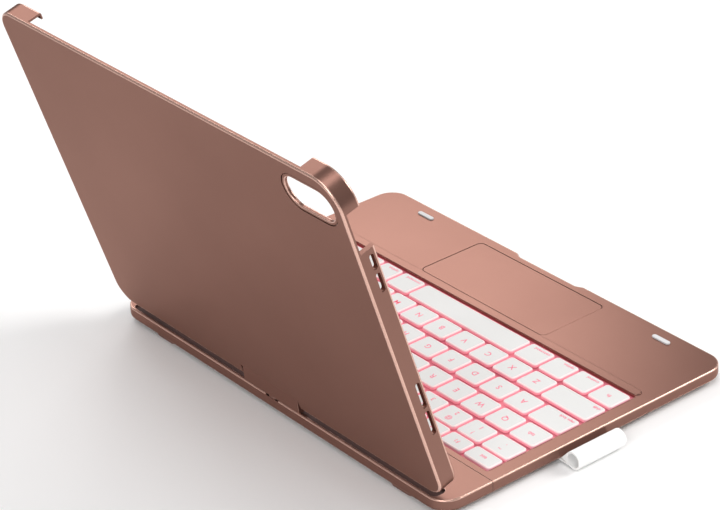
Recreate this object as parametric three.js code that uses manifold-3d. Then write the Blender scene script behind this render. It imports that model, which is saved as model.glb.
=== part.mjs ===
// Tablet keyboard case: a keyboard base and a tablet shell on a swivelling, tilting centre hinge.
// Millimetres. +X is the user's right, +Y the hinge side, +Z up. The dimensions are measured from the
// middle of the base's underside; the last lines move the whole to stand under its own middle.
import * as THREE from "three";
import { mergeVertices } from "three/addons/utils/BufferGeometryUtils.js";
import Module from "manifold-3d";

const wasm = await Module();
wasm.setup();

// ---- driving dimensions -------------------------------------------------------------------------
const GAP = 0.3; // running gap between neighbouring pieces
const CORNER_STEPS = 5; // facets of a large rounded corner

const base = { width: 253, depth: 181, height: 6.8, corner: 11, topEdge: 0.8, bottomEdge: 2.2 };
const cover = { floor: 1.2, wall: 1.8, deck: 1.4, seamY: 61 };
const fingerNotch = { width: 50, depth: 2, slope: 4 };
const well = { halfWidth: 118.6, front: -36.6, back: 57.6, lip: 5.2, lipRise: 0.5 };
const keys = { left: -118.3, right: 118.3, cap: 15.65, gap: 1.8, proud: 1, thickness: 1.9, corner: 1.7 };
const trackpad = { width: 93.6, depth: 41.7, y: -63.35, thickness: 1.5, corner: 3 };
const screenPad = { x: 89.3, y: -82, length: 11.5, width: 2.8, proud: 0.8 };
const foot = { x: 93, y: 84.5, length: 17, width: 7, height: 2.6 };
const trough = { front: 80.8, back: 89.1, depth: 1.2, halfLength: 118.5, floor: 1 };
const rimMark = { width: 10, depth: 0.8, nub: 4.4 };
const usb = { y: 40, width: 9, height: 3.2, length: 5, metal: 0.35, rise: 0.4, recess: 0.2 };
const usbTongue = { width: 6.4, thickness: 0.7, from: 0.5, to: 4 };
const powerSlider = { y: 18, knob: 3, height: 1.8, travel: 3, proud: 0.6 };
const sliderFlange = { length: 6, height: 3.2, thickness: 1.4 };
const keyPlate = {
  halfWidth: 120.8, front: -39, back: 59.8,
  bottom: 3.8, top: 4.6, border: 1.6, borderTop: 5.1,
};
const backlight = { halfWidth: 118, front: -36, back: 57, bottom: 3.2, top: 3.5 };
const mainBoard = { left: 62, right: 116, front: 2, back: 54, bottom: 1.6, top: 2.8 };
const battery = { inner: 52, outer: 116, front: -84, back: -46, bottom: 1.5, top: 5 };
const padBoard = { halfWidth: 40, halfDepth: 15, bottom: 1.6, top: 2.8 };
const padDome = { radius: 4, top: 4.2, forward: 9 };

const shell = {
  width: 253.6, height: 184, depth: 9.6, back: 2, wall: 2.7, chin: 4.6, topWall: 1.2,
  corner: 11, cameraCorner: 15, edge: 1,
};
const shellPlace = { y: 89.8, z: 9.7, lean: 16.8 };
const clips = { cameraX: -103.5, cornerX: 101.7, cameraLow: 168, powerLow: 146, lip: 0.8, lipDepth: 0.9 };
const camera = { x: -104.6, h: 168.1, length: 36, width: 19.6, ring: 1.8 };
const slots = { width: 2.4, depth: 6.6, spans: [[36.3, 51.5], [52.5, 68.5], [121.5, 133], [134, 143.5]] };
const tabletPort = { h: 92, length: 16, from: 2.8, to: 8.6 };

const hinge = { halfWidth: 21.5, notchHalf: 22.3, notchTop: 6, axisH: 2.8, axisD: 4.2, pin: 1, pinHalf: 31 };
const block = { rearY: 90.4, ridgeTop: 5.6, ridgeDepth: 1.6, top: 4.3, rearSkin: 0.35, bottomGap: 0.3 };
const post = {
  y: 85, radius: 2, disc: 3.9, discLow: 5.75, discHigh: 7.05,
  head: 3.4, headLow: 1.9, headHigh: 2.9,
};
const bracket = { halfWidth: 30, front: 79.8, back: 88, low: 3.2, high: 4.4 };
const loop = { x: -134.4, z: 2.85, outer: 4.6, inner: 3.7, front: -11, back: 19, tab: 0.8, tabEnd: -114 };

// ---- materials ----------------------------------------------------------------------------------
const finish = (color, roughness, metalness) => ({ color, roughness, metalness });
const ROSE = finish(0xb98c7e, 0.35, 0.8);
const ROSE_PAD = finish(0xc29a8b, 0.3, 0.6);
const KEY_WHITE = finish(0xe6e4e2, 0.5, 0);
const GLOW = finish(0xf08ca0, 0.5, 0);
const STEEL = finish(0x9a9a9c, 0.3, 1);
const BOARD = finish(0x24583a, 0.6, 0);
const FOIL = finish(0x3a3f4a, 0.5, 0.2);
const GREY_RUBBER = finish(0xb9babc, 0.6, 0);
const WHITE_BAND = finish(0xf1f1f0, 0.6, 0);
const DARK_PLASTIC = finish(0x35302f, 0.5, 0);

// ---- solids: every shape is a three.js geometry, cut and joined as a manifold --------------------
function solid(geometry) {
  const bare = geometry.clone();
  bare.deleteAttribute("normal");
  bare.deleteAttribute("uv");
  const merged = mergeVertices(bare, 1e-4);
  const mesh = new wasm.Mesh({
    numProp: 3,
    vertProperties: new Float32Array(merged.attributes.position.array),
    triVerts: new Uint32Array(merged.index.array),
  });
  return new wasm.Manifold(mesh);
}

function geometryOf(manifold) {
  const mesh = manifold.getMesh();
  const geometry = new THREE.BufferGeometry();
  geometry.setAttribute("position", new THREE.BufferAttribute(mesh.vertProperties, 3));
  geometry.setIndex(new THREE.BufferAttribute(mesh.triVerts, 1));
  const faceted = geometry.toNonIndexed();
  faceted.computeVertexNormals();
  return faceted;
}

const cut = (body, ...tools) => tools.reduce((left, tool) => left.subtract(tool), body);
const join = (body, ...more) => more.reduce((left, piece) => left.add(piece), body);

// A rectangle with rounded corners; the one at low x and high y may have its own radius.
function roundedRect(x0, x1, y0, y1, radius, upperLeft = radius) {
  const shape = new THREE.Shape();
  shape.moveTo(x0 + radius, y0);
  shape.lineTo(x1 - radius, y0);
  shape.absarc(x1 - radius, y0 + radius, radius, -Math.PI / 2, 0);
  shape.lineTo(x1, y1 - radius);
  shape.absarc(x1 - radius, y1 - radius, radius, 0, Math.PI / 2);
  shape.lineTo(x0 + upperLeft, y1);
  shape.absarc(x0 + upperLeft, y1 - upperLeft, upperLeft, Math.PI / 2, Math.PI);
  shape.lineTo(x0, y0 + radius);
  shape.absarc(x0 + radius, y0 + radius, radius, Math.PI, Math.PI * 1.5);
  return shape;
}

function stadium(length, width, x = 0, y = 0) {
  const radius = width / 2;
  const reach = length / 2 - radius;
  const shape = new THREE.Shape();
  shape.moveTo(x - reach, y - radius);
  shape.lineTo(x + reach, y - radius);
  shape.absarc(x + reach, y, radius, -Math.PI / 2, Math.PI / 2);
  shape.lineTo(x - reach, y + radius);
  shape.absarc(x - reach, y, radius, Math.PI / 2, Math.PI * 1.5);
  return shape;
}

// A straight extrusion of a shape between two heights.
function slab(shape, z0, z1, curveSegments = CORNER_STEPS) {
  const options = { depth: z1 - z0, bevelEnabled: false, curveSegments };
  return solid(new THREE.ExtrudeGeometry(shape, options).translate(0, 0, z0));
}

// The same with a rounded edge of radius edge at both ends, kept inside the shape's outline.
function softSlab(shape, z0, z1, edge, bevelSegments = 2, curveSegments = CORNER_STEPS) {
  const options = {
    depth: z1 - z0 - 2 * edge,
    bevelThickness: edge,
    bevelSize: edge,
    bevelOffset: -edge,
    bevelSegments,
    curveSegments,
  };
  return solid(new THREE.ExtrudeGeometry(shape, options).translate(0, 0, z0 + edge));
}

function box(x0, x1, y0, y1, z0, z1) {
  const geometry = new THREE.BoxGeometry(x1 - x0, y1 - y0, z1 - z0);
  return solid(geometry.translate((x0 + x1) / 2, (y0 + y1) / 2, (z0 + z1) / 2));
}

// A box between two X values, with the front, back, bottom and top of the given dimensions.
function plainBox(x0, x1, { front, back, bottom, top }) {
  return box(x0, x1, front, back, bottom, top);
}

function rodAlongX(radius, x0, x1, y, z, sides = 12) {
  const geometry = new THREE.CylinderGeometry(radius, radius, x1 - x0, sides);
  return solid(geometry.rotateZ(Math.PI / 2).translate((x0 + x1) / 2, y, z));
}

function rodAlongZ(radius, z0, z1, x, y, sides = 16) {
  const geometry = new THREE.CylinderGeometry(radius, radius, z1 - z0, sides);
  return solid(geometry.rotateX(Math.PI / 2).translate(x, y, (z0 + z1) / 2));
}

// A section drawn in the Y-Z plane, extruded along X.
function barAlongX(points, x0, x1) {
  const shape = new THREE.Shape(points.map(([y, z]) => new THREE.Vector2(y, z)));
  const options = { depth: x1 - x0, bevelEnabled: false };
  const geometry = new THREE.ExtrudeGeometry(shape, options);
  const yzx = new THREE.Matrix4().set(0, 0, 1, x0, 1, 0, 0, 0, 0, 1, 0, 0, 0, 0, 0, 1);
  return solid(geometry.applyMatrix4(yzx));
}

const model = new THREE.Group();

function add(name, manifold, look, parent = model) {
  const mesh = new THREE.Mesh(geometryOf(manifold), new THREE.MeshStandardMaterial(look));
  mesh.name = name;
  parent.add(mesh);
}

// ---- base body: one rounded slab, divided into bottom cover, top cover and rear cover ------------
function baseOutline() {
  const halfW = base.width / 2;
  const halfD = base.depth / 2;
  const halfNotch = fingerNotch.width / 2;
  const shape = new THREE.Shape();
  shape.moveTo(-halfW + base.corner, -halfD);
  shape.lineTo(-halfNotch, -halfD);
  shape.lineTo(-halfNotch + fingerNotch.slope, -halfD + fingerNotch.depth);
  shape.lineTo(halfNotch - fingerNotch.slope, -halfD + fingerNotch.depth);
  shape.lineTo(halfNotch, -halfD);
  shape.lineTo(halfW - base.corner, -halfD);
  shape.absarc(halfW - base.corner, -halfD + base.corner, base.corner, -Math.PI / 2, 0);
  shape.lineTo(halfW, halfD - base.corner);
  shape.absarc(halfW - base.corner, halfD - base.corner, base.corner, 0, Math.PI / 2);
  shape.lineTo(-halfW + base.corner, halfD);
  shape.absarc(-halfW + base.corner, halfD - base.corner, base.corner, Math.PI / 2, Math.PI);
  shape.lineTo(-halfW, -halfD + base.corner);
  shape.absarc(-halfW + base.corner, -halfD + base.corner, base.corner, Math.PI, Math.PI * 1.5);
  return shape;
}

function baseBody() {
  const outline = baseOutline();
  const roundedBelow = softSlab(outline, 0, base.height + 3 * base.bottomEdge, base.bottomEdge, 3);
  const roundedAbove = softSlab(outline, -3 * base.topEdge, base.height, base.topEdge, 2);
  return roundedBelow.intersect(roundedAbove);
}

const halfW = base.width / 2;
const halfD = base.depth / 2;
const FAR = 400; // beyond every edge of the object
const deckUnder = base.height - cover.deck;
const troughTop = base.height - trough.depth;
const troughUnder = troughTop - trough.floor;

function bottomCover() {
  const floorSlab = box(-FAR, FAR, -FAR, FAR, -1, cover.floor);
  return baseBody().intersect(floorSlab);
}

function upperBody() {
  const aboveFloor = box(-FAR, FAR, -FAR, FAR, cover.floor + GAP, FAR);
  const innerW = halfW - cover.wall;
  const innerFront = -halfD + cover.wall + fingerNotch.depth;
  const innerBack = halfD - cover.wall;
  const cavity = slab(roundedRect(-innerW, innerW, innerFront, trough.front - 1, 6), 0, deckUnder);
  const rearCavity = slab(roundedRect(-innerW, innerW, cover.seamY, innerBack, 8), 0, troughUnder);
  return cut(baseBody().intersect(aboveFloor), cavity, rearCavity);
}

function usbHole() {
  const outline = stadium(usb.width + 2 * GAP, usb.height + 2 * GAP);
  const tool = slab(outline, 0, 2 * cover.wall);
  return tool.rotate([90, 0, 90]).translate([halfW - 1.5 * cover.wall, usb.y, usbZ()]);
}

function usbZ() {
  return cover.floor + GAP + usb.height / 2 + usb.rise;
}

function switchSlot() {
  const half = powerSlider.height / 2 + GAP;
  const y0 = powerSlider.y - powerSlider.knob / 2 - GAP;
  const y1 = powerSlider.y + powerSlider.knob / 2 + powerSlider.travel + GAP;
  return box(halfW - 2 * cover.wall, FAR, y0, y1, usbZ() - half, usbZ() + half);
}

// The front wall of the key well rises as a low rounded bar along the palm rest.
function wellLip() {
  const middle = well.front - well.lip / 2 - 0.1;
  const outline = stadium(2 * well.halfWidth, well.lip, 0, middle);
  return softSlab(outline, base.height - 1, base.height + well.lipRise, 0.7, 2, 3);
}

function topCover() {
  const frontHalf = box(-FAR, FAR, -FAR, cover.seamY - GAP / 2, -FAR, FAR);
  const wellHole = box(-well.halfWidth, well.halfWidth, well.front, well.back, 0, FAR);
  const padW = trackpad.width / 2 + GAP;
  const padD = trackpad.depth / 2 + GAP;
  const padOutline = roundedRect(-padW, padW, trackpad.y - padD, trackpad.y + padD, trackpad.corner + GAP);
  const padHole = slab(padOutline, 0, FAR, 3);
  const body = join(upperBody().intersect(frontHalf), wellLip());
  return cut(body, wellHole, padHole, usbHole(), switchSlot());
}

function rearCover() {
  const rearHalf = box(-FAR, FAR, cover.seamY + GAP / 2, FAR, -FAR, FAR);
  const groove = roundedRect(-trough.halfLength, trough.halfLength, trough.front, trough.back, 3);
  const markHalf = rimMark.width / 2;
  const nubHalf = rimMark.nub / 2;
  const mark = box(-markHalf, markHalf, trough.back - 1, FAR, base.height - rimMark.depth, FAR);
  const nub = box(-nubHalf, nubHalf, trough.back, halfD - 0.4, base.height - 2, base.height - 0.1);
  const postHole = rodAlongZ(post.radius + GAP, 0, FAR, 0, post.y);
  const body = cut(upperBody().intersect(rearHalf), slab(groove, troughTop, FAR, 3), mark);
  return cut(join(body, nub), postHole);
}

// ---- keyboard -------------------------------------------------------------------------------------
// Each row runs from the left margin: named keys of a stated width, then unit keys, then keys that
// share what is left up to the right margin. The first "single" keys of a row are separate pieces;
// the rest of the row is one moulded strip of caps on a thin web.
const rows = [
  {
    name: "bottom_row", y: -33.8, depth: 14, single: 6,
    first: [["globe", 16.2], ["control", 15.6], ["option", 15.4], ["command", 16], ["space", 78.2],
      ["command_right", 15.8]],
    units: [],
    last: ["option_right", "arrow_left", "arrow_down", "arrow_up", "arrow_right"], weights: [1.1, 1, 1, 1, 1],
  },
  {
    name: "shift_row", y: -17.7, depth: 14, single: 6,
    first: [["shift", 31.4]],
    units: ["z", "x", "c", "v", "b", "n", "m"],
    last: ["comma", "period", "slash", "shift_right"], weights: [1, 1, 1, 2.2],
  },
  {
    name: "home_row", y: -1, depth: 14, single: 6,
    first: [["caps_lock", 22.2]],
    units: ["a", "s", "d", "f", "g", "h", "j", "k", "l"],
    last: ["semicolon", "quote", "enter"], weights: [1, 1, 1.7],
  },
  {
    name: "tab_row", y: 15.5, depth: 14, single: 5,
    first: [["tab", 16.8]],
    units: ["q", "w", "e", "r", "t", "y", "u", "i", "o", "p"],
    last: ["bracket_left", "bracket_right", "backslash"], weights: [1, 1, 1],
  },
  {
    name: "number_row", y: 32.2, depth: 13.2, single: 4,
    first: [["grave", 18.2]],
    units: ["1", "2", "3", "4", "5", "6", "7", "8", "9", "0"],
    last: ["minus", "equals", "backspace"], weights: [1, 1, 1.2],
  },
  {
    name: "function_row", y: 46.9, depth: 9.6, single: 2,
    first: [["escape", 18]],
    units: [],
    last: ["f1", "f2", "f3", "f4", "f5", "f6", "f7", "f8", "f9", "f10", "f11", "f12", "lock"],
    weights: new Array(13).fill(1),
  },
];

function keysOf(row) {
  const placed = [];
  let x = keys.left;
  const place = (name, width) => {
    placed.push({ name, x0: x, x1: x + width, y0: row.y, y1: row.y + row.depth });
    x += width + keys.gap;
  };
  row.first.forEach(([name, width]) => place(name, width));
  row.units.forEach((name) => place(name, keys.cap));
  const room = keys.right - x - keys.gap * (row.last.length - 1);
  const shares = row.weights.reduce((sum, weight) => sum + weight, 0);
  row.last.forEach((name, i) => place(name, (room * row.weights[i]) / shares));
  return placed;
}

const capTop = base.height + keys.proud;
const capBottom = capTop - keys.thickness;
const WEB = 0.4; // thickness of the web that joins the caps of a strip

function keyCap(key, cornerSteps = 2) {
  return slab(roundedRect(key.x0, key.x1, key.y0, key.y1, keys.corner), capBottom, capTop, cornerSteps);
}

function keyStrip(caps) {
  const inset = 2;
  const low = caps[0];
  const high = caps[caps.length - 1];
  const webTop = capBottom + WEB;
  const web = box(low.x0 + inset, high.x1 - inset, low.y0 + inset, low.y1 - inset, capBottom, webTop);
  return join(web, ...caps.map((key) => keyCap(key, 1)));
}

function addKeyboard() {
  for (const row of rows) {
    const placed = keysOf(row);
    placed.slice(0, row.single).forEach((key) => add(`key_${key.name}`, keyCap(key), KEY_WHITE));
    add(`keys_${row.name}_right`, keyStrip(placed.slice(row.single)), KEY_WHITE);
  }
}

function keyPlateBody() {
  const { halfWidth, front, back, bottom, top, border, borderTop } = keyPlate;
  const tray = box(-halfWidth, halfWidth, front, back, bottom, borderTop);
  const inside = box(-halfWidth + border, halfWidth - border, front + border, back - border, top, FAR);
  return cut(tray, inside);
}

// ---- other pieces of the base --------------------------------------------------------------------
function trackpadPlate() {
  const halfX = trackpad.width / 2;
  const halfY = trackpad.depth / 2;
  const outline = roundedRect(-halfX, halfX, trackpad.y - halfY, trackpad.y + halfY, trackpad.corner);
  return slab(outline, base.height - 0.05 - trackpad.thickness, base.height - 0.05, 3);
}

function trackpadBoard() {
  const { halfWidth, halfDepth, bottom, top } = padBoard;
  const board = box(-halfWidth, halfWidth, trackpad.y - halfDepth, trackpad.y + halfDepth, bottom, top);
  const dome = rodAlongZ(padDome.radius, bottom + 1, padDome.top, 0, trackpad.y - padDome.forward);
  return join(board, dome);
}

function screenPadBody(side) {
  const outline = stadium(screenPad.length, screenPad.width, side * screenPad.x, screenPad.y);
  return softSlab(outline, base.height, base.height + screenPad.proud, 0.3, 1, 3);
}

function footBody(sideX, sideY) {
  const outline = stadium(foot.length, foot.width, sideX * foot.x, sideY * foot.y);
  return softSlab(outline, -foot.height, 0, 0.6, 1, 3);
}

function usbSocket() {
  const outer = slab(stadium(usb.width, usb.height), 0, usb.length);
  const inner = slab(stadium(usb.width - 2 * usb.metal, usb.height - 2 * usb.metal), 1, FAR);
  const halfTongue = usbTongue.width / 2;
  const halfThick = usbTongue.thickness / 2;
  const tongue = box(-halfTongue, halfTongue, -halfThick, halfThick, usbTongue.from, usbTongue.to);
  const socket = join(cut(outer, inner), tongue);
  return socket.rotate([90, 0, 90]).translate([halfW - usb.recess - usb.length, usb.y, usbZ()]);
}

function powerSwitch() {
  const inside = halfW - cover.wall - GAP;
  const outside = halfW + powerSlider.proud;
  const centred = (x0, x1, length, height) => {
    const { y } = powerSlider;
    return box(x0, x1, y - length / 2, y + length / 2, usbZ() - height / 2, usbZ() + height / 2);
  };
  const flange = centred(inside - sliderFlange.thickness, inside, sliderFlange.length, sliderFlange.height);
  const button = centred(inside - 1, outside, powerSlider.knob, powerSlider.height);
  return join(flange, button);
}

// A soft band: a tube for a pencil beside the left edge, on a flat tab under the base.
function pencilLoop() {
  const ring = (radius) => new THREE.Shape().absarc(loop.x, loop.z, radius, 0, Math.PI * 2);
  const turn = (body) => body.rotate([90, 0, 0]);
  const tube = turn(slab(ring(loop.outer), -loop.back, -loop.front, 18));
  const bore = turn(slab(ring(loop.inner), -loop.back - 1, -loop.front + 1, 18));
  const tab = box(loop.x, loop.tabEnd, loop.front, loop.back, -loop.tab - 0.1, -0.1);
  return cut(join(tube, tab), bore);
}

// ---- hinge ---------------------------------------------------------------------------------------
const tilt = THREE.MathUtils.degToRad(90 - shellPlace.lean);

// World Y and Z of a point h up the shell from its bottom edge and d in from its back face.
function shellPoint(h, d) {
  const y = shellPlace.y + h * Math.cos(tilt) - d * Math.sin(tilt);
  const z = shellPlace.z + h * Math.sin(tilt) + d * Math.cos(tilt);
  return [y, z];
}

const [axisY, axisZ] = shellPoint(hinge.axisH, hinge.axisD);

// The block stands upright on the rear edge; its crown is round about the tilt axis and
// a thin ridge at its back closes the notch in the shell's back panel.
function hingeBlock() {
  const crown = block.top - hinge.axisH;
  const bottom = base.height + block.bottomGap;
  const steps = 5;
  const section = [
    [block.rearY, bottom],
    shellPoint(block.ridgeTop, block.rearSkin),
    shellPoint(block.ridgeTop, block.ridgeDepth),
    shellPoint(block.top, block.ridgeDepth),
  ];
  for (let i = 0; i <= steps; i += 1) {
    const angle = tilt + ((Math.PI - tilt) * i) / steps;
    section.push([axisY + crown * Math.cos(angle), axisZ + crown * Math.sin(angle)]);
  }
  section.push([axisY - crown, bottom]);
  const body = barAlongX(section, -hinge.halfWidth, hinge.halfWidth);
  return cut(body, rodAlongX(hinge.pin + GAP, -FAR, FAR, axisY, axisZ));
}

// The turntable: a disc in the trough under the block, a post through the base and a riveted head.
function swivelPost() {
  const profile = [
    [0, post.headLow], [post.head, post.headLow], [post.head, post.headHigh], [post.radius, post.headHigh],
    [post.radius, post.discLow], [post.disc, post.discLow], [post.disc, post.discHigh], [0, post.discHigh],
  ];
  const points = profile.map(([radius, z]) => new THREE.Vector2(radius, z));
  const turned = new THREE.LatheGeometry(points, 14).rotateX(Math.PI / 2);
  return solid(turned).translate([0, post.y, 0]);
}

function hingeBracket() {
  const half = bracket.halfWidth;
  const plate = box(-half, half, bracket.front, bracket.back, bracket.low, bracket.high);
  return cut(plate, rodAlongZ(post.radius + GAP, 0, FAR, 0, post.y));
}

// ---- tablet shell, drawn flat: X across, Y up the shell, Z in from the back face ------------------
function shellOutline(inset) {
  const x = shell.width / 2 - inset;
  return roundedRect(-x, x, inset, shell.height - inset, shell.corner - inset, shell.cameraCorner - inset);
}

function tabletTray() {
  const x = shell.width / 2 - shell.wall;
  const corner = shell.corner - shell.wall;
  const top = shell.height - shell.topWall;
  const outline = roundedRect(-x, x, shell.chin, top, corner, shell.cameraCorner - 2);
  return slab(outline, shell.back, FAR);
}

// The lip of the two corner clips reaches in over the tablet's edge.
function clipLips() {
  const low = shell.depth - clips.lipDepth;
  const ringOuter = slab(shellOutline(0.6), low, shell.depth);
  const ringInner = slab(shellOutline(shell.wall + clips.lip), low - 1, FAR);
  const ring = cut(ringOuter, ringInner);
  const cameraCorner = box(-FAR, clips.cameraX, clips.cameraLow, FAR, 0, FAR);
  const otherCorner = box(clips.cornerX, FAR, clips.cameraLow, FAR, 0, FAR);
  return ring.intersect(join(cameraCorner, otherCorner));
}

function speakerSlots(side) {
  const wallX = side * (shell.width / 2 - shell.wall / 2);
  return slots.spans.map(([low, high]) => {
    const outline = stadium(high - low - 1, slots.width);
    const tool = slab(outline, -shell.wall, shell.wall, 3).rotate([0, 0, 90]).rotate([0, 90, 0]);
    return tool.translate([wallX, (low + high) / 2, slots.depth]);
  });
}

function tabletShell() {
  const soft = softSlab(shellOutline(0), 0, shell.depth, shell.edge, 2, 4);
  const topGap = box(clips.cameraX, clips.cornerX, shell.height - 8, FAR, shell.back, FAR);
  const powerGap = box(-FAR, -100, clips.powerLow, clips.cameraLow, shell.back, FAR);
  const rim = cut(soft, tabletTray());
  const withLips = join(rim, clipLips());
  const notch = box(-hinge.notchHalf, hinge.notchHalf, -1, hinge.notchTop, -1, shell.back + 0.1);
  const chinGap = box(-hinge.notchHalf, hinge.notchHalf, -1, shell.chin + 0.5, -1, FAR);
  const pinBore = rodAlongX(hinge.pin + GAP, -hinge.pinHalf - 1, hinge.pinHalf + 1, hinge.axisH, hinge.axisD);
  const ringOutline = stadium(camera.length + 2 * GAP, camera.width + 2 * GAP, camera.x, camera.h);
  const cameraHole = slab(ringOutline, -1, FAR, 6);
  const port = box(0, FAR, tabletPort.h - tabletPort.length / 2, tabletPort.h + tabletPort.length / 2,
    tabletPort.from, tabletPort.to);
  const openings = [topGap, powerGap, notch, chinGap, pinBore, cameraHole, port];
  return cut(withLips, ...openings, ...speakerSlots(-1), ...speakerSlots(1));
}

function cameraRing() {
  const { x, h, length, width, ring } = camera;
  const outer = softSlab(stadium(length, width, x, h), 0.1, shell.back, 0.3, 1, 6);
  const inner = slab(stadium(length - 2 * ring, width - 2 * ring, x, h), -1, FAR, 6);
  return cut(outer, inner);
}

// ---- assembly ------------------------------------------------------------------------------------
add("bottom_cover", bottomCover(), ROSE);
add("top_cover", topCover(), ROSE);
add("rear_cover", rearCover(), ROSE);
add("key_plate", keyPlateBody(), DARK_PLASTIC);
add("backlight_sheet", plainBox(-backlight.halfWidth, backlight.halfWidth, backlight), GLOW);
add("main_board", plainBox(mainBoard.left, mainBoard.right, mainBoard), BOARD);
add("battery_left", plainBox(-battery.outer, -battery.inner, battery), FOIL);
add("battery_right", plainBox(battery.inner, battery.outer, battery), FOIL);
addKeyboard();
add("trackpad", trackpadPlate(), ROSE_PAD);
add("trackpad_board", trackpadBoard(), BOARD);
add("usb_c_socket", usbSocket(), STEEL);
add("power_switch", powerSwitch(), DARK_PLASTIC);
add("screen_pad_left", screenPadBody(-1), GREY_RUBBER);
add("screen_pad_right", screenPadBody(1), GREY_RUBBER);
add("foot_front_left", footBody(-1, -1), ROSE);
add("foot_front_right", footBody(1, -1), ROSE);
add("foot_rear_left", footBody(-1, 1), ROSE);
add("foot_rear_right", footBody(1, 1), ROSE);
add("pencil_loop", pencilLoop(), WHITE_BAND);
add("hinge_bracket", hingeBracket(), STEEL);
add("swivel_post", swivelPost(), STEEL);
add("hinge_block", hingeBlock(), ROSE);
add("tilt_shaft", rodAlongX(hinge.pin, -hinge.pinHalf, hinge.pinHalf, axisY, axisZ, 10), STEEL);

const lid = new THREE.Group();
lid.position.set(0, shellPlace.y, shellPlace.z);
lid.rotation.x = tilt;
add("tablet_shell", tabletShell(), ROSE, lid);
add("camera_ring", cameraRing(), ROSE, lid);
model.add(lid);

// The object stands at height zero, with the origin under the middle of its bounding box.
const bounds = new THREE.Box3().setFromObject(model);
const middle = bounds.getCenter(new THREE.Vector3());
model.position.set(-middle.x, -middle.y, -bounds.min.z);

export default model;
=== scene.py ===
# Looks of the tablet keyboard case: an open case, seen from behind its left rear corner.
# Metres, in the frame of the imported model. The base's own middle is HOME; pieces are drawn round it.
import math

import bmesh
import bpy
from mathutils import Matrix, Vector


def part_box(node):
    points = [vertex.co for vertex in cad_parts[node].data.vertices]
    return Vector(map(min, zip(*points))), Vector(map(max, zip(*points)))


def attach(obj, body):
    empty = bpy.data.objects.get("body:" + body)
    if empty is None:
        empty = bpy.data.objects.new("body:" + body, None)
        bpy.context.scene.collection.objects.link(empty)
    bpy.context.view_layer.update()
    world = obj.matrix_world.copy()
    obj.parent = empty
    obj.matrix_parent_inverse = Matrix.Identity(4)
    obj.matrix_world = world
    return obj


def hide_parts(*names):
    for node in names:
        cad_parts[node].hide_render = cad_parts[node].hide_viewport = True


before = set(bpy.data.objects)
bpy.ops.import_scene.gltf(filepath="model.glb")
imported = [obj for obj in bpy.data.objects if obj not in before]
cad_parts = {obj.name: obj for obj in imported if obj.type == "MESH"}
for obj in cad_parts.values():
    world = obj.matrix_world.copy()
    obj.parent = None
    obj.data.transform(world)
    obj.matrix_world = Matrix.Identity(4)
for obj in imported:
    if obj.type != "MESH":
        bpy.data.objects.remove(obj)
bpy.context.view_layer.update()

# ---- driving dimensions --------------------------------------------------------------------------
low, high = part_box("bottom_cover")
HOME = Vector(((low[0] + high[0]) / 2, (low[1] + high[1]) / 2, low[2]))
GAP = 0.0003
FAR = 0.4

BASE_W, BASE_D, BASE_H, BASE_CORNER = 0.253, 0.181, 0.0068, 0.011
FLOOR, WALL, DECK, SEAM_Y = 0.0012, 0.0018, 0.0014, 0.061
NOTCH_HALF, NOTCH_DEEP, NOTCH_SLOPE = 0.025, 0.002, 0.004
WELL_HALF, WELL_FRONT, WELL_BACK, LIP_W, LIP_RISE = 0.1186, -0.0366, 0.0576, 0.0052, 0.0005
PAD_W, PAD_D, PAD_Y, PAD_CORNER = 0.0936, 0.0417, -0.06335, 0.003
TROUGH_FRONT, TROUGH_BACK, TROUGH_DEEP, TROUGH_HALF = 0.0808, 0.0891, 0.0012, 0.1185
ROOM_CORNER_FRONT, ROOM_CORNER_REAR, RIB = 0.006, 0.008, 0.001
POST_Y, POST_HOLE = 0.085, 0.0023
USB_W, USB_H, USB_DEEP = 0.0096, 0.0038, 0.0027
SLIDER_DEEP, SLIDER_LOW, SLIDER_HIGH, SLIDER_HALF = 0.0036, 0.0018, 0.0048, 0.0012
BUMPER_X, BUMPER_Y, BUMPER_L, BUMPER_W, BUMPER_H = 0.0893, -0.082, 0.0115, 0.0028, 0.0008
MARK_HALF, MARK_DEEP, NUB_HALF = 0.005, 0.0008, 0.0022
FOOT_X, FOOT_Y, FOOT_L, FOOT_W, FOOT_H = 0.093, 0.0845, 0.017, 0.007, 0.0026

SHELL_W, SHELL_H, SHELL_D, SHELL_BACK = 0.2536, 0.184, 0.0096, 0.002
SHELL_WALL, CHIN, TOP_WALL, SHELL_CORNER, CAMERA_CORNER = 0.0027, 0.0046, 0.0012, 0.011, 0.015
CLIP_X, CLIP_RIGHT_X, CLIP_LOW, POWER_LOW = -0.1035, 0.1017, 0.168, 0.146
CAM_X, CAM_H, CAM_L, CAM_W, CAM_RING = -0.1046, 0.1681, 0.036, 0.0196, 0.0018
SLOT_SPANS = ((0.0363, 0.0515), (0.0525, 0.0685), (0.1215, 0.133), (0.134, 0.1435))
SLOT_W, SLOT_D, SLOT_END = 0.0024, 0.0066, 0.001
PORT_LOW, PORT_HIGH, PORT_BACK, PORT_FRONT = 0.084, 0.1, 0.0028, 0.0086
LIP_DEEP, LIP_REACH = 0.0009, 0.0008
HINGE_HALF, HINGE_NOTCH, AXIS_H, AXIS_D = 0.0215, 0.0223, 0.0028, 0.0042
SHAFT_HOLE, SHAFT_HALF, CROWN, SEAM_H = 0.0013, 0.032, 0.0015, 0.0056
TILT, LID_Y, LID_Z = math.radians(73.2), 0.0898, 0.0097
LID = Matrix.Translation((0, LID_Y, LID_Z)) @ Matrix.Rotation(TILT, 4, "X")

LOOP_X, LOOP_Z, LOOP_OUTER, LOOP_INNER = -0.1344, 0.00285, 0.0046, 0.0037
LOOP_FRONT, LOOP_BACK = -0.011, 0.019
TAB_END, TAB_BOTTOM, TAB_TOP = -0.114, -0.0009, -0.0001


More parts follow.
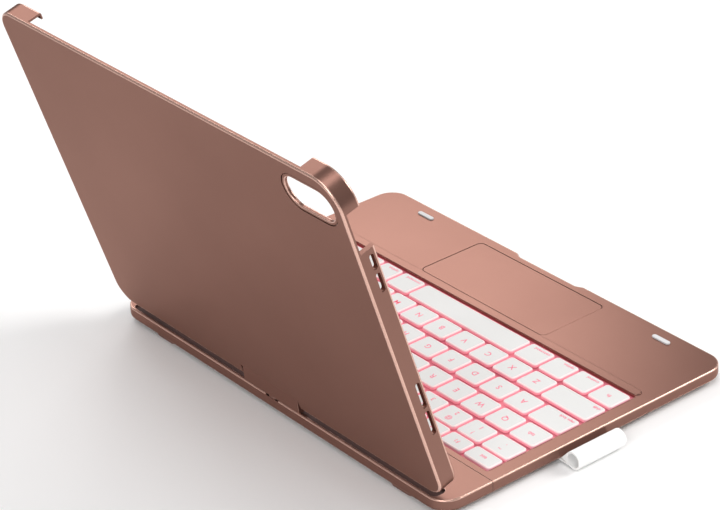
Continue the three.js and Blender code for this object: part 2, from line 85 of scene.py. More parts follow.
# ---- camera, floor and light ---------------------------------------------------------------------
def add_camera():
    data = bpy.data.cameras.new("camera")
    data.lens = 134.42
    data.sensor_width = 36
    data.shift_x = -0.016
    data.shift_y = 0.0371
    data.clip_end = 20
    camera = bpy.data.objects.new("camera", data)
    place = Vector((-0.8961, 0.72398, 0.68416)) + HOME
    aim = Vector((0.02502, 0.00702, 0.02743)) + HOME
    turn = (aim - place).to_track_quat("-Z", "Y").to_matrix().to_4x4()
    roll = Matrix.Rotation(math.radians(-2.752), 4, "Z")
    camera.matrix_world = Matrix.Translation(place) @ turn @ roll
    bpy.context.scene.collection.objects.link(camera)
    bpy.context.scene.camera = camera


def add_floor():
    mesh = bpy.data.meshes.new("floor")
    side = 6
    corners = [(-side, -side, 0), (side, -side, 0), (side, side, 0), (-side, side, 0)]
    mesh.from_pydata(corners, [], [(0, 1, 2, 3)])
    floor = bpy.data.objects.new("floor", mesh)
    bpy.context.scene.collection.objects.link(floor)
    nodes, links, shader = new_material("floor")
    shader.inputs["Base Color"].default_value = (0.97, 0.97, 0.97, 1)
    shader.inputs["Roughness"].default_value = 0.9
    shader.inputs["Specular IOR Level"].default_value = 0.1
    mesh.materials.append(bpy.data.materials["floor"])


def add_area(name, place, aim, size, power, spread=180, colour=(1, 1, 1)):
    data = bpy.data.lights.new(name, "AREA")
    data.shape = "RECTANGLE"
    data.size, data.size_y = size
    data.energy = power
    data.spread = math.radians(spread)
    data.color = colour
    light = bpy.data.objects.new(name, data)
    light.location = place
    light.rotation_euler = (Vector(aim) - Vector(place)).to_track_quat("-Z", "Y").to_euler()
    bpy.context.scene.collection.objects.link(light)


def add_lights():
    """Light from the front left, a gloss that the deck mirrors, and soft fill above and behind."""
    scene = bpy.context.scene
    scene.view_settings.view_transform = "Standard"
    world = bpy.data.worlds.new("studio")
    world.use_nodes = True
    world.node_tree.nodes["Background"].inputs["Color"].default_value = (1, 1, 1, 1)
    world.node_tree.nodes["Background"].inputs["Strength"].default_value = 0.32
    scene.world = world
    add_area("key", (-0.9, -1.3, 1.0), (-0.15, -0.3, 0), (0.9, 0.9), 6, spread=100, colour=(1, 0.98, 0.96))
    add_area("gloss", (0.97, -0.735, 0.76), (0, 0, 0.02), (0.55, 0.5), 3.0)
    add_area("backdrop", (1.5, -0.4, 1.2), (0.7, -0.9, 0), (1.0, 1.0), 6, spread=100)
    add_area("overhead", (-0.3, 0.3, 1.3), (-0.1, 0.1, 0), (0.8, 0.8), 2.6, spread=120)
    add_area("rear", (-0.6, 0.9, 0.6), (-0.1, 0.15, 0), (0.6, 0.6), 2.0, spread=110)


# ---- materials -----------------------------------------------------------------------------------
def new_material(name):
    material = bpy.data.materials.new(name)
    material.use_nodes = True
    nodes = material.node_tree.nodes
    return nodes, material.node_tree.links, nodes["Principled BSDF"]


def add_noise(nodes, links, scale, detail=3.0, stretch=(1, 1, 1)):
    place = nodes.new("ShaderNodeTexCoord")
    mapping = nodes.new("ShaderNodeMapping")
    mapping.inputs["Scale"].default_value = stretch
    noise = nodes.new("ShaderNodeTexNoise")
    noise.inputs["Scale"].default_value = scale
    noise.inputs["Detail"].default_value = detail
    links.new(place.outputs["Object"], mapping.inputs["Vector"])
    links.new(mapping.outputs["Vector"], noise.inputs["Vector"])
    return noise.outputs["Fac"]


def ramp(nodes, links, factor, stops):
    node = nodes.new("ShaderNodeValToRGB")
    elements = node.color_ramp.elements
    while len(elements) < len(stops):
        elements.new(0.5)
    for element, (position, colour) in zip(elements, stops):
        element.position = position
        element.color = (*colour, 1)
    links.new(factor, node.inputs["Fac"])
    return node.outputs["Color"]


def vary(nodes, links, factor, lowest, highest):
    node = nodes.new("ShaderNodeMapRange")
    node.inputs["To Min"].default_value = lowest
    node.inputs["To Max"].default_value = highest
    links.new(factor, node.inputs["Value"])
    return node.outputs["Result"]


def add_bump(nodes, links, shader, height, strength, distance):
    bump = nodes.new("ShaderNodeBump")
    bump.inputs["Strength"].default_value = strength
    bump.inputs["Distance"].default_value = distance
    links.new(height, bump.inputs["Height"])
    links.new(bump.outputs["Normal"], shader.inputs["Normal"])


# One recipe for every moulded, painted or metal surface: two tones mixed by soft clouds,
# a roughness that wanders a little, a fine grain in the normals, and the tint of grazing reflections.
def surface(name, dark, light, roughness, metallic=0.0, grain=2500, depth=0.00002, clouds=14,
            stretch=(1, 1, 1), glow=0.0, subsurface=0.0, rim_tint=(1, 1, 1)):
    nodes, links, shader = new_material(name)
    tone = add_noise(nodes, links, clouds, 4.0)
    colour = ramp(nodes, links, tone, ((0.3, dark), (0.7, light)))
    links.new(colour, shader.inputs["Base Color"])
    fine = add_noise(nodes, links, grain, 2.0, stretch)
    rough = vary(nodes, links, fine, roughness[0], roughness[1])
    links.new(rough, shader.inputs["Roughness"])
    add_bump(nodes, links, shader, fine, 0.35, depth)
    shader.inputs["Metallic"].default_value = metallic
    shader.inputs["Specular Tint"].default_value = (*rim_tint, 1)
    shader.inputs["Subsurface Weight"].default_value = subsurface
    shader.inputs["Subsurface Scale"].default_value = 0.001
    if glow:
        links.new(colour, shader.inputs["Emission Color"])
        shader.inputs["Emission Strength"].default_value = glow
    return bpy.data.materials[name]


def make_materials():
    tint = (0.78, 0.62, 0.57)
    dark_rose, light_rose = (0.235, 0.12, 0.095), (0.26, 0.135, 0.107)
    soft, sheen = (0.5, 0.6), (0.26, 0.34)
    return {
        "rose": surface("rose_paint", dark_rose, light_rose, sheen, 0.85, grain=3500, rim_tint=tint),
        "pad": surface("pad_film", dark_rose, light_rose, sheen, 0.85, grain=5000, rim_tint=tint),
        # The lighter rose paint for the rounded and bevelled edges is a painted highlight: the same paint,
        # about three times lighter.
        "edge": surface("painted_edge_highlight", (0.68, 0.42, 0.345), (0.75, 0.47, 0.385), (0.22, 0.32), 0.85,
                        grain=3500),
        # The near-black rose for the trough's floor is painted shade: the shadow in the gap under the tablet
        # shell.
        "groove": surface("painted_groove_shade", (0.045, 0.012, 0.008), (0.07, 0.02, 0.014), (0.6, 0.7), 0.2,
                          grain=3500),
        "cap": surface("key_cap", (0.70, 0.70, 0.69), (0.76, 0.76, 0.75), soft, grain=4000),
        "rim": surface("key_rim", (0.90, 0.70, 0.70), (0.95, 0.78, 0.78), soft, glow=0.12),
        "side": surface("key_side", (0.85, 0.36, 0.43), (0.92, 0.44, 0.51), soft, glow=0.22),
        "legend": surface("key_legend", (0.62, 0.10, 0.17), (0.75, 0.16, 0.24), soft, glow=0.35),
        "glow": surface("glow_plate", (0.55, 0.14, 0.19), (0.78, 0.26, 0.32), (0.4, 0.6), clouds=60,
                        glow=0.35),
        "band": surface("white_band", (0.50, 0.50, 0.50), (0.56, 0.56, 0.555), (0.55, 0.7), grain=1800,
                        depth=0.00006, subsurface=0.15),
        "rubber": surface("grey_rubber", (0.5, 0.5, 0.51), (0.62, 0.62, 0.63), (0.5, 0.65), grain=3000,
                          depth=0.00005),
        "steel": surface("steel", (0.42, 0.42, 0.43), (0.58, 0.58, 0.6), (0.22, 0.38), 1.0, grain=900,
                         stretch=(0.05, 1, 1)),
        "dark": surface("dark_plastic", (0.03, 0.027, 0.026), (0.05, 0.045, 0.043), (0.4, 0.55), grain=3000),
        "board": surface("board", (0.01, 0.07, 0.03), (0.02, 0.11, 0.05), (0.35, 0.5), clouds=300,
                         grain=1500),
        "foil": surface("foil", (0.10, 0.11, 0.13), (0.16, 0.17, 0.2), (0.25, 0.4), 0.6, clouds=80,
                        grain=600),
    }


# ---- outlines: lists of (x, y), anticlockwise ----------------------------------------------------
def arc(cx, cy, radius, start, end, steps):
    points = []
    for i in range(steps + 1):
        angle = math.radians(start + (end - start) * i / steps)
        points.append((cx + radius * math.cos(angle), cy + radius * math.sin(angle)))
    return points


def rounded_rect(x0, x1, y0, y1, radius, upper_left=None, steps=10):
    big = radius if upper_left is None else upper_left
    points = arc(x1 - radius, y0 + radius, radius, -90, 0, steps)
    points += arc(x1 - radius, y1 - radius, radius, 0, 90, steps)
    points += arc(x0 + big, y1 - big, big, 90, 180, 2 * steps if big > radius else steps)
    points += arc(x0 + radius, y0 + radius, radius, 180, 270, steps)
    return points


def stadium(length, width, x=0.0, y=0.0, steps=16):
    radius = width / 2
    reach = length / 2 - radius
    return arc(x + reach, y, radius, -90, 90, steps) + arc(x - reach, y, radius, 90, 270, steps)


def base_outline():
    w, d, r = BASE_W / 2, BASE_D / 2, BASE_CORNER
    deep = -d + NOTCH_DEEP
    points = [(-NOTCH_HALF, -d), (-NOTCH_HALF + NOTCH_SLOPE, deep), (NOTCH_HALF - NOTCH_SLOPE, deep)]
    points += [(NOTCH_HALF, -d)]
    points += arc(w - r, -d + r, r, -90, 0, 10) + arc(w - r, d - r, r, 0, 90, 10)
    points += arc(-w + r, d - r, r, 90, 180, 10) + arc(-w + r, -d + r, r, 180, 270, 10)
    return points


def inset(points, amount):
    """The outline moved inwards by amount."""
    moved = []
    for i, point in enumerate(points):
        here = Vector(point)
        before = (here - Vector(points[i - 1])).normalized()
        after = (Vector(points[(i + 1) % len(points)]) - here).normalized()
        middle = (before + after).normalized()
        inward = Vector((-middle.y, middle.x))
        moved.append(tuple(here + inward * (amount / max(0.3, middle.dot(before)))))
    return moved


def edge_slots(steps, low_edge, high_edge):
    """Slot 1, the lighter paint of a painted edge highlight, for the rounded rings of such a profile, and
    slot 0 for the wall.
    """
    return [1] * (steps if low_edge else 0) + [0] + [1] * (steps if high_edge else 0)


def round_profile(z0, z1, low_edge, high_edge, steps=5):
    """(height, inset) pairs up a wall whose lower and upper edges are rounded."""
    turn = [math.pi / 2 * i / steps for i in range(steps + 1)]
    lower = [(z0 + low_edge * (1 - math.cos(a)), low_edge * (1 - math.sin(a))) for a in turn]
    upper = [(z1 - high_edge * (1 - math.sin(a)), high_edge * (1 - math.cos(a))) for a in turn]
    return (lower if low_edge else [(z0, 0)]) + (upper if high_edge else [(z1, 0)])


# ---- meshes --------------------------------------------------------------------------------------
def lofted(outline, profile, side_slots=None):
    """Rings of the outline, one for each (height, inset), closed by a face at each end."""
    mesh = bmesh.new()
    rings = [[mesh.verts.new((x, y, z)) for x, y in inset(outline, amount)] for z, amount in profile]
    count = len(outline)
    for level, (below, above) in enumerate(zip(rings, rings[1:])):
        for i in range(count):
            j = (i + 1) % count
            face = mesh.faces.new((below[i], below[j], above[j], above[i]))
            if side_slots:
                face.material_index = side_slots[level]
    mesh.faces.new(list(reversed(rings[0])))
    mesh.faces.new(rings[-1])
    return mesh


def to_object(mesh, name, place=Matrix.Identity(4), materials=()):
    data = bpy.data.meshes.new(name)
    mesh.to_mesh(data)
    mesh.free()
    data.transform(place)
    thing = bpy.data.objects.new(name, data)
    bpy.context.scene.collection.objects.link(thing)
    for material in materials:
        data.materials.append(material)
    return thing


def prism(outline, z0, z1, low_edge=0.0, high_edge=0.0, steps=5, place=Matrix.Identity(4), materials=()):
    profile = round_profile(z0, z1, low_edge, high_edge, steps)
    slots = edge_slots(steps, low_edge, high_edge) if materials else None
    return to_object(lofted(outline, profile, slots), "piece", place, materials)


def block(x0, x1, y0, y1, z0, z1, place=Matrix.Identity(4)):
    return prism([(x0, y0), (x1, y0), (x1, y1), (x0, y1)], z0, z1, place=place)


def rod(radius, x0, x1, y, z):
    """A round bar along X."""
    turn = Matrix.Rotation(math.pi / 2, 4, "Y")
    return prism(arc(0, 0, radius, 0, 345, 23), x0, x1, place=Matrix.Translation((0, y, z)) @ turn)


def combine(target, tools, operation="DIFFERENCE"):
    for tool in tools:
        step = target.modifiers.new("cut", "BOOLEAN")
        step.operation = operation
        step.solver = "EXACT"
        step.object = tool
    settle(target)
    for tool in tools:
        bpy.data.objects.remove(tool)
    return target


def settle(thing):
    """Applies the object's modifiers to its mesh."""
    evaluated = thing.evaluated_get(bpy.context.evaluated_depsgraph_get())
    data = bpy.data.meshes.new_from_object(evaluated)
    thing.modifiers.clear()
    thing.data = data


def clean(thing):
    mesh = bmesh.new()
    mesh.from_mesh(thing.data)
    bmesh.ops.remove_doubles(mesh, verts=mesh.verts, dist=0.000004)
    bmesh.ops.dissolve_degenerate(mesh, edges=mesh.edges, dist=0.000002)
    mesh.to_mesh(thing.data)
    mesh.free()


def soften(thing, width, segments=2, angle=35):
    """Rounds the sharp edges, which take the second material (on the rose pieces the lighter paint of a
    painted highlight), and shades the rest smoothly.
    """
    clean(thing)
    while len(thing.data.materials) < 2:
        thing.data.materials.append(None)
    bevel = thing.modifiers.new("edge", "BEVEL")
    bevel.width = width
    bevel.segments = segments
    bevel.limit_method = "ANGLE"
    bevel.angle_limit = math.radians(angle)
    bevel.use_clamp_overlap = True
    bevel.material = 1
    settle(thing)
    smooth(thing)


def smooth(thing, angle=32):
    """Smooth shading in which each large flat face keeps its own normal."""
    for face in thing.data.polygons:
        face.use_smooth = True
    thing.data.set_sharp_from_angle(angle=math.radians(angle))
    weighted = thing.modifiers.new("flat faces", "WEIGHTED_NORMAL")
    weighted.keep_sharp = True
    weighted.weight = 100


def keep(thing, name, body, nodes, materials=()):
    """The finished piece: its name, body, CAD nodes and materials."""
    thing.name = name
    if materials:
        indices = [face.material_index for face in thing.data.polygons]
        thing.data.materials.clear()
        for material in materials:
            thing.data.materials.append(material)
        for face, index in zip(thing.data.polygons, indices):
            face.material_index = min(index, len(materials) - 1)
    thing.data.transform(Matrix.Translation(HOME))
    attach(thing, body)
    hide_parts(*nodes)


# ---- base ----------------------------------------------------------------------------------------
def base_body():
    profile = round_profile(0, BASE_H, 0.0022, 0.0008, 6)
    # The six rings of the upper rounded edge take the lighter rose paint: a painted highlight. The lower
    # edge and the wall keep the plain paint.
    slots = [0] * 7 + [1] * 6
    return to_object(lofted(base_outline(), profile, slots), "base", materials=painted)


def make_bottom_cover():
    cover = combine(base_body(), [block(-FAR, FAR, -FAR, FAR, -FAR, FLOOR)], "INTERSECT")
    soften(cover, 0.0001, 1)
    keep(cover, "bottom_pan", "base", ["bottom_cover"], painted)


def upper_body(y0, y1):
    body = combine(base_body(), [block(-FAR, FAR, y0, y1, FLOOR + GAP, FAR)], "INTERSECT")
    w, d = BASE_W / 2 - WALL, BASE_D / 2 - WALL
    under = BASE_H - DECK
    front_room = rounded_rect(-w, w, -d + NOTCH_DEEP, TROUGH_FRONT - RIB, ROOM_CORNER_FRONT, steps=4)
    rear_room = rounded_rect(-w, w, SEAM_Y, d, ROOM_CORNER_REAR, steps=4)
    trough_under = BASE_H - TROUGH_DEEP - RIB
    return combine(body, [prism(front_room, -0.01, under), prism(rear_room, -0.01, trough_under)])


def middle_of(node):
    low_corner, high_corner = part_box(node)
    return (Vector(low_corner) + Vector(high_corner)) / 2 - HOME


def edge_holes():
    """The holes for the socket and for the switch in the base's right edge."""
    middle, y = middle_of("usb_c_socket"), middle_of("power_switch").y
    turn = Matrix.Rotation(math.pi / 2, 4, "Z") @ Matrix.Rotation(math.pi / 2, 4, "X")
    place = Matrix.Translation((BASE_W / 2, middle.y, middle.z)) @ turn
    usb_hole = prism(stadium(USB_W, USB_H), -USB_DEEP, USB_DEEP, place=place)
    bottom, top = middle.z - SLIDER_HALF, middle.z + SLIDER_HALF
    slider_slot = block(BASE_W / 2 - SLIDER_DEEP, FAR, y - SLIDER_LOW, y + SLIDER_HIGH, bottom, top)
    return [usb_hole, slider_slot]


def make_top_cover():
    body = upper_body(-FAR, SEAM_Y - GAP / 2)
    lip_y = WELL_FRONT - LIP_W / 2 - 0.0001
    lip = prism(stadium(2 * WELL_HALF, LIP_W, 0, lip_y), BASE_H - 0.001, BASE_H + LIP_RISE, 0, 0.0005)
    combine(body, [lip], "UNION")
    w, d = PAD_W / 2 + GAP, PAD_D / 2 + GAP
    pad_hole = rounded_rect(-w, w, PAD_Y - d, PAD_Y + d, PAD_CORNER + GAP)
    well = rounded_rect(-WELL_HALF, WELL_HALF, WELL_FRONT, WELL_BACK, 0.0008, steps=3)
    combine(body, [prism(well, 0, FAR), prism(pad_hole, 0, FAR), *edge_holes()])
    soften(body, 0.00018)
    keep(body, "deck", "base", ["top_cover"], painted)


def make_rear_cover():
    body = upper_body(SEAM_Y + GAP / 2, FAR)
    groove = rounded_rect(-TROUGH_HALF, TROUGH_HALF, TROUGH_FRONT, TROUGH_BACK, 0.003, steps=6)
    mark = block(-MARK_HALF, MARK_HALF, TROUGH_BACK - 0.001, FAR, BASE_H - MARK_DEEP, FAR)
    combine(body, [prism(groove, BASE_H - TROUGH_DEEP, FAR), mark])
    nub = block(-NUB_HALF, NUB_HALF, TROUGH_BACK, BASE_D / 2 - 0.0004, BASE_H - 0.002, BASE_H - 0.0001)
    combine(body, [nub], "UNION")
    post_hole = prism(arc(0, POST_Y, POST_HOLE, 0, 345, 23), 0, FAR)
    combine(body, [post_hole])
    soften(body, 0.00018)
    # Faces on the floor of the trough take the near-black third material: painted shade for the dark gap
    # under the shell.
    for face in body.data.polygons:
        low_enough = face.center.z < BASE_H - TROUGH_DEEP / 2
        beside = abs(face.center.x) < TROUGH_HALF + 0.0001
        if low_enough and beside and TROUGH_FRONT < face.center.y < TROUGH_BACK + 0.0001:
            face.material_index = 2
    keep(body, "rear_deck", "base", ["rear_cover"], [*painted, look["groove"]])


def make_trackpad():
    w, d = PAD_W / 2, PAD_D / 2
    outline = rounded_rect(-w, w, PAD_Y - d, PAD_Y + d, PAD_CORNER)
    top = BASE_H - 0.00005
    pad = prism(outline, top - 0.0015, top, 0.0001, 0.00025, 3)
    smooth(pad)
    keep(pad, "trackpad_plate", "trackpad", ["trackpad"], [look["pad"]])


def make_screen_pads():
    for side, word in ((-1, "left"), (1, "right")):
        outline = stadium(BUMPER_L, BUMPER_W, side * BUMPER_X, BUMPER_Y)
        pad = prism(outline, BASE_H, BASE_H + BUMPER_H, 0, BUMPER_H / 2)
        smooth(pad)
        keep(pad, f"bumper_{word}", "base", [f"screen_pad_{word}"], [look["rubber"]])


def make_feet():
    for x, word_x in ((-1, "left"), (1, "right")):
        for y, word_y in ((-1, "front"), (1, "rear")):
            outline = stadium(FOOT_L, FOOT_W, x * FOOT_X, y * FOOT_Y)
            foot = prism(outline, -FOOT_H, 0, 0.0006, 0.0001)
            smooth(foot)
            name = f"foot_{word_y}_{word_x}"
            keep(foot, name + "_pad", "base", [name], painted)


# ---- keyboard ------------------------------------------------------------------------------------
# Words for the caps of each node, from left to right.
LEGENDS = {
    "key_globe": ["fn"], "key_control": ["control"], "key_option": ["option"], "key_command": ["command"],
    "key_space": [""], "key_command_right": ["command"], "key_shift": ["shift"],
    "key_caps_lock": ["caps lock"],
    "key_tab": ["tab"], "key_grave": ["~ `"], "key_1": ["! 1"], "key_2": ["@ 2"], "key_3": ["# 3"],
    "key_escape": ["esc"], "key_f1": ["F1"],
    "keys_bottom_row_right": ["option", "<", "v", "^", ">"],
    "keys_shift_row_right": ["N", "M", "< ,", "> .", "? /", "shift"],
    "keys_home_row_right": ["H", "J", "K", "L", ": ;", "\" '", "return"],
    "keys_tab_row_right": ["T", "Y", "U", "I", "O", "P", "{ [", "} ]", "| \\"],
    "keys_number_row_right": ["$ 4", "% 5", "^ 6", "& 7", "* 8", "( 9", ") 0", "_ -", "+ =", "delete"],
    "keys_function_row_right": [f"F{number}" for number in range(2, 13)] + ["lock"],
}


def cap_boxes(node):
    """The outline boxes of a node's caps, from the islands of its top faces, left to right."""
    mesh = bmesh.new()
    mesh.from_mesh(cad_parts[node].data)
    bmesh.ops.remove_doubles(mesh, verts=mesh.verts, dist=0.00001)
    top = max(vert.co.z for vert in mesh.verts)
    tops = {vert for vert in mesh.verts if vert.co.z > top - 0.00005}
    boxes = []
    while tops:
        group = [tops.pop()]
        for vert in group:
            for edge in vert.link_edges:
                other = edge.other_vert(vert)
                if other in tops:
                    tops.remove(other)
                    group.append(other)
        xs = [vert.co.x - HOME.x for vert in group]
        ys = [vert.co.y - HOME.y for vert in group]
        boxes.append((min(xs), max(xs), min(ys), max(ys)))
    mesh.free()
    return sorted(boxes)


# A cap's side as (height, inset), and the material of each ring of faces: side, rim and top.
CAP_PROFILE = (
    (0, 0.0001), (0.0003, 0), (0.0010, 0), (0.00125, 0.00002), (0.00150, 0.0001),
    (0.0017, 0.00025), (0.00181, 0.00045), (0.00185, 0.0007), (0.00186, 0.0011),
)
CAP_SLOTS = (1, 1, 1, 2, 2, 2, 2, 0)
CAP_CORNER = 0.0017


def add_key_looks(data):
    for material in key_looks:
        data.materials.append(material)


def cap_object(x0, x1, y0, y1, bottom):
    outline = rounded_rect(x0, x1, y0, y1, CAP_CORNER, steps=6)
    profile = [(bottom + rise, amount) for rise, amount in CAP_PROFILE]
    return to_object(lofted(outline, profile, CAP_SLOTS), "cap", materials=key_looks)


def legend_object(words, x, y, z, size, align="CENTER"):
    curve = bpy.data.curves.new("legend", "FONT")
    curve.body = words
    curve.size = size
    curve.align_x = align
    curve.align_y = "CENTER"
    curve.offset = 0.00003
    curve.extrude = 0.00003
    curve.resolution_u = 3
    text = bpy.data.objects.new("legend", curve)
    text.location = (x, y, z)
    bpy.context.scene.collection.objects.link(text)
    bpy.context.view_layer.update()
    data = bpy.data.meshes.new_from_object(text.evaluated_get(bpy.context.evaluated_depsgraph_get()))
    data.transform(text.matrix_world)
    bpy.data.objects.remove(text)
    add_key_looks(data)
    for face in data.polygons:
        face.material_index = 3
    thing = bpy.data.objects.new("legend", data)
    bpy.context.scene.collection.objects.link(thing)
    return thing


def legends_on(words, x0, x1, y0, y1, top):
    """The printed signs of one cap: two signs one above the other, a word in a corner, or one letter."""
    middle_x, middle_y = (x0 + x1) / 2, (y0 + y1) / 2
    z = top - 0.00003
    parts = words.split(" ")
    if not words:
        return []
    if len(words) == 3 and len(parts) == 2:
        upper = legend_object(parts[0], middle_x, middle_y + 0.0028, z, 0.0037)
        return [upper, legend_object(parts[1], middle_x, middle_y - 0.0028, z, 0.0037)]
    if len(words) > 3:
        return [legend_object(words, x0 + 0.0017, y0 + 0.0027, z, 0.0026, "LEFT")]
    size = 0.0047 if len(words) == 1 else 0.0032
    return [legend_object(words, middle_x, middle_y, z, size)]


def home_bar(x0, x1, y0, top):
    middle = (x0 + x1) / 2
    bar = prism(stadium(0.0034, 0.0006, middle, y0 + 0.0027, 6), top - 0.0001, top, 0, 0.00005, 2)
    add_key_looks(bar.data)
    return bar


def join(things):
    with bpy.context.temp_override(active_object=things[0], selected_editable_objects=things):
        bpy.ops.object.join()
    return things[0]


def web_object(boxes, bottom):
    """The thin strip that joins the caps of one node."""
    inner = 0.002
    x0, x1 = boxes[0][0] + inner, boxes[-1][1] - inner
    web = block(x0, x1, boxes[0][2] + inner, boxes[0][3] - inner, bottom, bottom + 0.0004)
    add_key_looks(web.data)
    for face in web.data.polygons:
        face.material_index = 1
    return web


def make_keys():
    caps = [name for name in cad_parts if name.startswith(("key_", "keys_")) and name != "key_plate"]
    for node in sorted(caps):
        low_z, high_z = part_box(node)[0][2] - HOME.z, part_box(node)[1][2] - HOME.z
        boxes = cap_boxes(node)
        words = LEGENDS.get(node, [node[4:].upper()])
        things = []
        for (x0, x1, y0, y1), sign in zip(boxes, words):
            things.append(cap_object(x0, x1, y0, y1, low_z))
            things += legends_on(sign, x0, x1, y0, y1, high_z)
            if sign in ("F", "J"):
                things.append(home_bar(x0, x1, y0, high_z))
        if len(boxes) > 1:
            things.append(web_object(boxes, low_z))
        piece = join(things)
        smooth(piece, 40)
        keep(piece, node + "_cap", node, [node])


# ---- hinge ---------------------------------------------------------------------------------------
def lid_point(h, d):
    point = LID @ Vector((0, h, d))
    return point.y, point.z


def make_hinge_block():
    axis_y, axis_z = lid_point(AXIS_H, AXIS_D)
    bottom = BASE_H + GAP
    section = [(0.0904, bottom), lid_point(SEAM_H, 0.00035), lid_point(SEAM_H, 0.0016)]
    section.append(lid_point(0.0043, 0.0016))
    for i in range(13):
        angle = TILT + (math.pi - TILT) * i / 12
        section.append((axis_y + CROWN * math.cos(angle), axis_z + CROWN * math.sin(angle)))
    section.append((axis_y - CROWN, bottom))
    axes = Matrix(((0, 0, 1, 0), (1, 0, 0, 0), (0, 1, 0, 0), (0, 0, 0, 1)))
    body = prism(section, -HINGE_HALF, HINGE_HALF, place=axes)
    combine(body, [rod(SHAFT_HOLE, -FAR, FAR, axis_y, axis_z)])
    soften(body, 0.00015)
    keep(body, "hinge_barrel", "hinge_block", ["hinge_block"], painted)


# ---- tablet shell, drawn flat and then tilted ----------------------------------------------------
def shell_outline(amount):
    w = SHELL_W / 2 - amount
    return rounded_rect(-w, w, amount, SHELL_H - amount, SHELL_CORNER - amount, CAMERA_CORNER - amount, 12)


def shell_slots(side):
    x = side * (SHELL_W / 2 - SHELL_WALL / 2)
    turn = Matrix.Rotation(math.pi / 2, 4, "Y") @ Matrix.Rotation(math.pi / 2, 4, "Z")
    tools = []
    for start, end in SLOT_SPANS:
        place = Matrix.Translation((x, (start + end) / 2, SLOT_D)) @ turn
        tools.append(prism(stadium(end - start - SLOT_END, SLOT_W), -SHELL_WALL, SHELL_WALL, place=place))
    return tools


def clip_lips():
    """The lips that hold the tablet in at the two upper corners."""
    lip_low = SHELL_D - LIP_DEEP
    ring = prism(shell_outline(0.0006), lip_low, SHELL_D, 0, 0.0003)
    combine(ring, [prism(shell_outline(SHELL_WALL + LIP_REACH), lip_low - 0.001, FAR)])
    corners = block(-FAR, CLIP_X, CLIP_LOW, FAR, 0, FAR)
    combine(corners, [block(CLIP_RIGHT_X, FAR, CLIP_LOW, FAR, 0, FAR)], "UNION")
    return combine(ring, [corners], "INTERSECT")


def make_shell():
    shell = prism(shell_outline(0), 0, SHELL_D, 0.001, 0.001, 6, materials=painted)
    w = SHELL_W / 2 - SHELL_WALL
    corner = SHELL_CORNER - SHELL_WALL
    tray = rounded_rect(-w, w, CHIN, SHELL_H - TOP_WALL, corner, CAMERA_CORNER - 0.002, 12)
    combine(shell, [prism(tray, SHELL_BACK, FAR)])
    combine(shell, [clip_lips()], "UNION")
    tools = [
        block(CLIP_X, CLIP_RIGHT_X, SHELL_H - 0.008, FAR, SHELL_BACK, FAR),
        block(-FAR, -0.1, POWER_LOW, CLIP_LOW, SHELL_BACK, FAR),
        block(-HINGE_NOTCH, HINGE_NOTCH, -0.001, 0.006, -0.001, SHELL_BACK + 0.0001),
        block(-HINGE_NOTCH, HINGE_NOTCH, -0.001, CHIN + 0.0005, -0.001, FAR),
        rod(SHAFT_HOLE, -SHAFT_HALF, SHAFT_HALF, AXIS_H, AXIS_D),
        prism(stadium(CAM_L + 2 * GAP, CAM_W + 2 * GAP, CAM_X, CAM_H), -0.001, FAR),
        block(0, FAR, PORT_LOW, PORT_HIGH, PORT_BACK, PORT_FRONT),
    ]
    combine(shell, tools + shell_slots(-1) + shell_slots(1))
    soften(shell, 0.0003, 3)
    shell.data.transform(LID)
    keep(shell, "tablet_tray", "tablet_shell", ["tablet_shell"], painted)


def make_camera_ring():
    outline = stadium(CAM_L, CAM_W, CAM_X, CAM_H, 24)
    ring = prism(outline, 0.0001, SHELL_BACK, 0.0004, 0.0002)
    window = stadium(CAM_L - 2 * CAM_RING, CAM_W - 2 * CAM_RING, CAM_X, CAM_H, 24)
    combine(ring, [prism(window, -0.001, FAR)])
    soften(ring, 0.0005, 4)
    ring.data.transform(LID)
    keep(ring, "lens_window_rim", "tablet_shell", ["camera_ring"], painted)


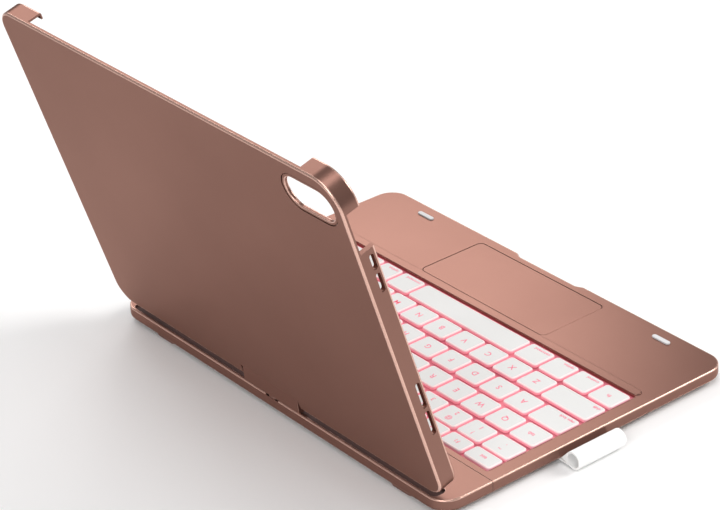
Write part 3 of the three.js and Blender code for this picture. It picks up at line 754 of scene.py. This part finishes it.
# ---- pencil loop ---------------------------------------------------------------------------------
def loop_wedge():
    """The band's two layers, closing from the tube towards the base's edge: tangents to the tube."""
    tube_middle, tip = Vector((LOOP_X, LOOP_Z)), Vector((-0.1268, 0.0012))
    reach = tip - tube_middle
    lean, opening = math.atan2(reach.y, reach.x), math.acos(LOOP_OUTER / reach.length)
    angles = (lean + opening, lean - opening)
    upper, lower = (tube_middle + LOOP_OUTER * Vector((math.cos(a), math.sin(a))) for a in angles)
    return [tuple(point) for point in (lower, tip, upper, tube_middle)]


def make_pencil_loop():
    """A soft band: a tab from under the base that wraps round a pencil's bore and closes on itself."""
    turn = Matrix.Rotation(math.pi / 2, 4, "X")
    tube = arc(LOOP_X, LOOP_Z, LOOP_OUTER, 0, 354, 59)
    bore = arc(LOOP_X, LOOP_Z, LOOP_INNER, 0, 354, 59)
    body = prism(tube, -LOOP_BACK, -LOOP_FRONT, 0.0003, 0.0003, 3, turn)
    tab = block(LOOP_X, TAB_END, LOOP_FRONT, LOOP_BACK, TAB_BOTTOM, TAB_TOP)
    combine(body, [tab, prism(loop_wedge(), -LOOP_BACK, -LOOP_FRONT, place=turn)], "UNION")
    combine(body, [prism(bore, -LOOP_BACK - 0.001, -LOOP_FRONT + 0.001, place=turn)])
    soften(body, 0.0002, 2, 40)
    keep(body, "pencil_band", "base", ["pencil_loop"], [look["band"]])


# ---- CAD nodes that keep their shape -------------------------------------------------------------
def paint_nodes():
    plain = {
        "key_plate": "glow", "backlight_sheet": "glow", "main_board": "board", "trackpad_board": "board",
        "battery_left": "foil", "battery_right": "foil", "usb_c_socket": "steel", "power_switch": "dark",
        "hinge_bracket": "steel", "swivel_post": "steel", "tilt_shaft": "steel",
    }
    for node, name in plain.items():
        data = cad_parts[node].data
        data.materials.clear()
        data.materials.append(look[name])


add_camera()
add_floor()
add_lights()
look = make_materials()
painted = [look["rose"], look["edge"]]
key_looks = [look["cap"], look["side"], look["rim"], look["legend"]]
make_bottom_cover()
make_top_cover()
make_rear_cover()
make_trackpad()
make_screen_pads()
make_feet()
make_keys()
make_hinge_block()
make_shell()
make_camera_ring()
make_pencil_loop()
paint_nodes()
